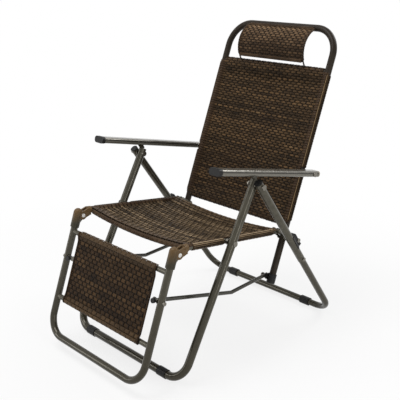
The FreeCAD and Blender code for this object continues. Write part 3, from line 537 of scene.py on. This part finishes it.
# Seat sling: x across, y along the side rails, z up
seat = {"half": 0.227, "tube": 0.009, "front": -0.139, "rear": 0.214,  # side rails and their wrapped stretch
        "frontBar": -0.148, "rearBar": 0.222, "bar": 0.007, "sag": 0.014,  # edge bars and the hollow
        "climb": 0.055, "over": 2.5, "plain": 0.045,  # rise onto the bars, radians round them, calm edge
        "boss": 0.0, "bossHalf": 0.013,  # the seat pivot's bolt keeps strands off the rail
        "pitchAcross": 0.0105, "pitchAlong": 0.0158, "thick": 0.0018, "lift": 0.0003, "warpLift": 0.0013,
        "fillAcross": 1.0, "fillAlong": 0.24, "warpTone": (0.2, 0.7), "seed": 11,
        "highlightRunners": ((118, 2.6), (143, 0.9), (168, 0.2), (193, -0.2)),  # degrees round the tube and tone: the pale top one is a painted highlight along the rail, the rest darken lower round the tube
        "runnerWidth": 0.0042, "runnerThick": 0.0012,
        "tied": (0.06, 0.033, 0.018, 1), "edgeShade": 1.0, "crossShade": 0.0, "sunk": 0.0,
        "shades": [(0.0, (0.0122, 0.0075, 0.00425)), (0.25, (0.0327, 0.021, 0.0113)),
                   (0.5, (0.12, 0.0813, 0.0454)), (0.75, (0.306, 0.215, 0.127)),
                   (1.0, (0.478, 0.355, 0.227))]}


def seatDip(x, t):
    return hollow(x, seat["half"] - seat["tube"], seat["sag"])


def seatBarDip(x):
    return hollow(x, seat["half"], seat["sag"])


loom = Loom("seat_sling", seat["seed"])
sling = Sling(loom, seat, seatFrame, seatDip, seatBarDip)
sling.weave()
sling.layHighlightRunners()
loom.finish(strandFinish("seat_strands", seat), "base", "seat_weave")

# Back sling: x across, z along the side tubes, the sitter's side is -y
back = {"half": 0.227, "tube": 0.011, "front": 0.051, "rear": 0.53,  # side tubes and their wrapped stretch
        "frontBar": 0.042, "rearBar": 0.539, "set": 0.0, "bar": 0.008, "sag": 0.016, "sink": 0.11,
        "climb": 0.055, "over": 2.2, "plain": 0.028,
        "boss": 0.215, "bossHalf": 0.0125,  # the armrest's boss keeps strands off the tube
        "pitchAcross": 0.012, "pitchAlong": 0.0084, "thick": 0.002, "lift": 0.001, "warpLift": 0.001,
        "fillAcross": 1.04, "fillAlong": 0.42, "warpTone": (-0.7, -0.2), "seed": 23,
        # the runners' tones paint a highlight along the side tubes, darker lower round them
        "highlightRunners": ((128, 2.6), (146, 0.2), (164, -0.2), (182, -0.2)),
        "runnerWidth": 0.0032, "runnerThick": 0.001,
        "tied": (0.04, 0.023, 0.013, 1), "edgeShade": 0.75, "crossShade": 0.15, "sunk": 0.6,
        "shades": [(0.0, (0.00876, 0.0056, 0.0032)), (0.25, (0.0213, 0.0127, 0.00595)),
                   (0.5, (0.064, 0.0383, 0.0178)), (0.75, (0.134, 0.078, 0.0349)),
                   (1.0, (0.231, 0.155, 0.0795))]}


def backDip(x, t):  # the sheet sinks in over a stretch from each bar
    deep = np.clip(np.minimum(t - back["frontBar"], back["rearBar"] - t) / back["sink"], 0, 1)
    return hollow(x, back["half"] - back["tube"], back["sag"]) * (deep * (2 - deep))


def straightBar(x):
    return 0.0 * x


loom = Loom("back_sling", back["seed"])
sling = Sling(loom, back, backFrame, backDip, straightBar, upright=True)
sling.weave()
sling.layHighlightRunners()
loom.finish(strandFinish("back_strands", back), "backrest", "backrest_weave")

# Footrest panel: x across, z along, hung between its two bars
foot = {"half": 0.182, "frontBar": -0.269, "rearBar": -0.056, "bar": 0.008,
        "set": -0.015, "level": 0.005, "climb": 0.024, "over": 2.2, "plain": 0.038,
        "pitchAcross": 0.0112, "pitchAlong": 0.0132, "thick": 0.0014, "lift": 0.0003, "warpLift": 0.0012,
        "fillAcross": 1.02, "fillAlong": 0.46, "warpTone": (-1.2, -0.7), "seed": 37,
        "edgeWidth": 0.0085, "edgeThick": 0.0046, "edgeLift": 0.0006,
        "tied": (0.12, 0.076, 0.038, 1), "edgeShade": 0.4, "crossShade": 0.3, "sunk": 0.0,
        "shades": [(0.0, (0.00553, 0.00307, 0.00144)), (0.25, (0.0148, 0.0077, 0.00324)),
                   (0.5, (0.0439, 0.0241, 0.0103)), (0.75, (0.0925, 0.0524, 0.0228)),
                   (1.0, (0.142, 0.0848, 0.0389))]}


def footDip(x, t):
    return 0.0 * x + foot["level"]


loom = Loom("foot_panel", foot["seed"])
panel = Sling(loom, foot, footFrame, footDip, straightBar, upright=True)
panel.weave()
panel.bindEdges()
loom.finish(strandFinish("foot_strands", foot), "footrest", "footrest_weave")

# Headrest roll: x across, strands run between the two cross wires of its bowed frame
head = {"half": 0.1395, "set": 0.031, "top": 0.677, "wire": 0.0025,  # side wires, top of the back tube
        "topWire": 0.014, "lowWire": 0.033,  # cross wires' distance from the tube and the upper bar
        "side": 0.001, "inset": 0.0035, "turn": (335, 25, 31), "pitchAcross": 0.0108, "pitchRound": 0.0088,
        "thick": 0.0016, "lift": 0.0008, "fillAcross": 1.03, "fillRound": 0.45, "seed": 53,
        "litTopTone": 1.75, "litToneDrop": 2.0, "toneSpread": 0.25, "warpTone": (-0.6, -0.1),
        "rowTone": 0.2, "rowIn": 0.0008, "rowWidth": 0.0078,  # row over a cross wire
        "rampIn": 0.0055, "rampLift": 0.0031, "rampWidth": 0.0064, "rampLean": (0.5, 0.87),
        "tied": (0.03, 0.018, 0.011, 1), "edgeShade": 0.6, "crossShade": 0.2, "sunk": 0.6,
        "shades": [(0.0, (0.00928, 0.00585, 0.00313)), (0.25, (0.0223, 0.0126, 0.00625)),
                   (0.5, (0.065, 0.0382, 0.0195)), (0.75, (0.153, 0.093, 0.0483)),
                   (1.0, (0.294, 0.187, 0.103))]}


class HeadRoll:  # the roll's arc, from the upper cross wire round to the lower one
    def __init__(self, loom):
        self.loom = loom
        rise = (head["top"] - back["rearBar"]) / 2
        self.centre = (head["top"] + back["rearBar"]) / 2
        self.radius = math.hypot(head["set"], rise)
        toTube = math.atan2(rise, -head["set"])
        self.start = toTube + self.turnOf(head["topWire"])
        self.arc = (2 * math.pi - toTube - self.turnOf(head["lowWire"]) - self.start) * self.radius
        self.inner = head["half"] - head["wire"] - head["side"]
        self.ring = head["wire"] + head["thick"] * 0.5 + weaveFit["tube"]
        self.angles = circleRun(*head["turn"])
        self.xs, self.stepX = edgeGrid(-self.inner, self.inner, head["pitchAcross"])
        self.ss, self.stepS = edgeGrid(head["inset"], self.arc - head["inset"], head["pitchRound"])

    def weave(self):
        self.layAcross()
        self.layWireRows()
        self.layRound()

    def turnOf(self, chord):  # angle at the roll's centre
        return 2 * math.asin(chord / 2 / self.radius)

    def lay(self, x, s, h, outX, outS, outH, width, dip, tone, thick=head["thick"], far=None):
        x, s, h, outX, outS, outH = asArrays(x, s, h, outX, outS, outH)
        a = self.start + s / self.radius  # s runs round the roll, h stands off it
        r = self.radius + h
        points = np.stack([x, head["set"] + r * np.cos(a), self.centre + r * np.sin(a)], axis=1)
        outY, outZ = outH * np.cos(a) - outS * np.sin(a), outH * np.sin(a) + outS * np.cos(a)
        outward = backFrame(np.stack([outX, outY, outZ], axis=1)) - backFrame([(0, 0, 0)])
        self.loom.lay(backFrame(points), outward, width, thick, tone, dip, far)

    def hookStrand(self, low, high, flat, wave):  # one strand over and under, hooked at both ends
        shape = hooked(self.angles, self.ring, low, high, flat, head["lift"] * wave, np.ones(len(flat)))
        return *shape, np.pad(-wave, len(self.angles), constant_values=tiedDip)

    def layAcross(self):  # round both side wires, with the core below, dark in front as painted shade in the gaps
        flat = np.linspace(-self.inner, self.inner, weaveFit["points"] * len(self.xs) + 1)
        under = -head["lift"] - core["sunk"] * head["thick"]
        for j, s in enumerate(self.ss):
            wave = strandWave(flat, self.xs[0], self.stepX, 1 if j % 2 else -1)
            x, h, outX, outH, dip = self.hookStrand(-head["half"], head["half"], flat, wave)
            tone = head["litTopTone"] - head["litToneDrop"] * s / self.arc  # painted light: paler towards the top of the roll, which faces up to the lamps
            tone = tone + self.loom.chance.uniform(-head["toneSpread"], head["toneSpread"])
            self.lay(x, s, h, outX, 0.0, outH, self.stepS * head["fillAcross"], dip, tone)
            self.lay(flat, s, under, 0.0, 0.0, 1.0, self.stepS * core["wide"], np.ones(len(flat)),
                     core["tone"], head["thick"] * core["thick"], (core["spread"] * j % 1.0, wave))

    def layWireRows(self):  # one row over each cross wire and one that leads up to it
        flat = np.linspace(-self.inner, self.inner, weaveFit["corePoints"] * len(self.xs) + 1)
        level = np.zeros(len(flat))
        leanS, leanH = head["rampLean"]
        for ramp, row, way in ((head["rampIn"], head["rowIn"], 1),
                               (self.arc - head["rampIn"], self.arc - head["rowIn"], -1)):
            self.lay(flat, ramp, head["rampLift"], 0.0, way * leanS, leanH, head["rampWidth"], level,
                     head["rowTone"])
            self.lay(flat, row, self.ring + head["thick"], 0.0, 0.0, 1.0, head["rowWidth"], level,
                     head["rowTone"])

    def layRound(self):  # from cross wire to cross wire
        first, last = head["inset"], self.arc - head["inset"]
        flat = np.linspace(first, last, weaveFit["points"] * len(self.ss) + 1)
        for i, x in enumerate(self.xs):
            wave = strandWave(flat, self.ss[0], self.stepS, -1 if i % 2 else 1)
            s, h, outS, outH, dip = self.hookStrand(0.0, self.arc, flat, wave)
            tone = self.loom.chance.uniform(*head["warpTone"])
            self.lay(x, s, h, 0.0, outS, outH, self.stepX * head["fillRound"], dip, tone)


loom = Loom("head_roll", head["seed"])
roll = HeadRoll(loom)
roll.weave()
loom.finish(strandFinish("head_strands", head), "backrest", "headrest_weave")

# Floor and backdrop
stage = {"floor": 60.0, "world": 0.4}
paper = {"dark": (0.93, 0.93, 0.93, 1), "light": (0.95, 0.95, 0.95, 1), "fleck": 3.0, "near": 0.5, "far": 1.5,
         "nearGlow": 0.8}
white = (1, 1, 1, 1)


def seenRays(w):  # 1 for what the camera sees, straight or mirrored in metal
    path = w.add("ShaderNodeLightPath").socket.node.outputs
    straight, mirrored, through = [Wire(w.tree, path[f"Is {kind} Ray"])
                                   for kind in ("Camera", "Glossy", "Transmission")]
    return (straight + mirrored + through).clamp()


def palePaper():
    made, w = newFinish("pale_paper")
    where = objectPlace(w)
    colour = blendColours(w, noise(w, where, paper["fleck"]), paper["dark"], paper["light"])
    far = w.add("ShaderNodeVectorMath", {"operation": "LENGTH"}, {0: where}, out=1)
    fade = w.add("ShaderNodeMapRange", None,
                 {0: far, 1: paper["near"], 2: paper["far"], 3: paper["nearGlow"], 4: 1.0})
    soft = w.add("ShaderNodeBsdfDiffuse", None, {"Color": colour})
    glow = w.add("ShaderNodeEmission", None, {"Color": white, "Strength": 1.0})
    mixed = w.add("ShaderNodeMixShader", None, {0: seenRays(w) * fade, 1: soft, 2: glow})
    w.add("ShaderNodeOutputMaterial", None, {"Surface": mixed})
    return made


floorMesh = bpy.data.meshes.new("floor")
reach = stage["floor"]
floorCorners = [(-reach, -reach, 0), (reach, -reach, 0), (reach, reach, 0), (-reach, reach, 0)]
floorMesh.from_pydata(floorCorners, [], [(0, 1, 2, 3)])
floorMesh.materials.append(palePaper())
floor = bpy.data.objects.new("floor", floorMesh)
scene.collection.objects.link(floor)

world = bpy.data.worlds.new("studio")
scene.world = world
world.use_nodes = True
world.node_tree.nodes.clear()
w = Wire(world.node_tree)
strength = seenRays(w) * (1.0 - stage["world"]) + stage["world"]
glow = w.add("ShaderNodeBackground", None, {"Color": white, "Strength": strength})
w.add("ShaderNodeOutputWorld", None, {"Surface": glow})

# Lights and camera
lamps = {"key": {"place": (-0.5, -1.0, 2.9), "aim": (0, 0, 0.4), "wide": 1.5, "high": 1.5, "watts": 40.0},
         "left": {"place": (-1.7, -1.9, 1.2), "aim": (0, 0, 0.45), "wide": 0.35, "high": 2.0, "watts": 9.0},
         "right": {"place": (2.3, -0.5, 1.1), "aim": (0, 0, 0.45), "wide": 0.35, "high": 1.8, "watts": 10.0},
         "rim": {"place": (0.6, 2.2, 2.2), "aim": (0, 0, 0.6), "wide": 1.4, "high": 0.6, "watts": 24.0}}
view = {"place": (1.56699, -1.49427, 1.16448), "aim": (-0.0005, 0.02924, 0.4366), "lens": 63.73, "sensor": 36}


def aimed(name, data, place, aim):  # puts a lamp or camera at a place and turns it to face another
    item = bpy.data.objects.new(name, data)
    item.location = place
    item.rotation_mode = "QUATERNION"
    item.rotation_quaternion = (Vector(aim) - Vector(place)).to_track_quat("-Z", "Y")
    scene.collection.objects.link(item)
    return item


for name, lamp in lamps.items():
    softBox = bpy.data.lights.new(name, "AREA")
    softBox.shape = "RECTANGLE"
    softBox.size = lamp["wide"]
    softBox.size_y = lamp["high"]
    softBox.energy = lamp["watts"]
    aimed(name, softBox, lamp["place"], lamp["aim"])

lens = bpy.data.cameras.new("photo_view")
lens.sensor_width = view["sensor"]
lens.lens = view["lens"]
scene.camera = aimed("photo_view", lens, view["place"], view["aim"])
print("stage ready")
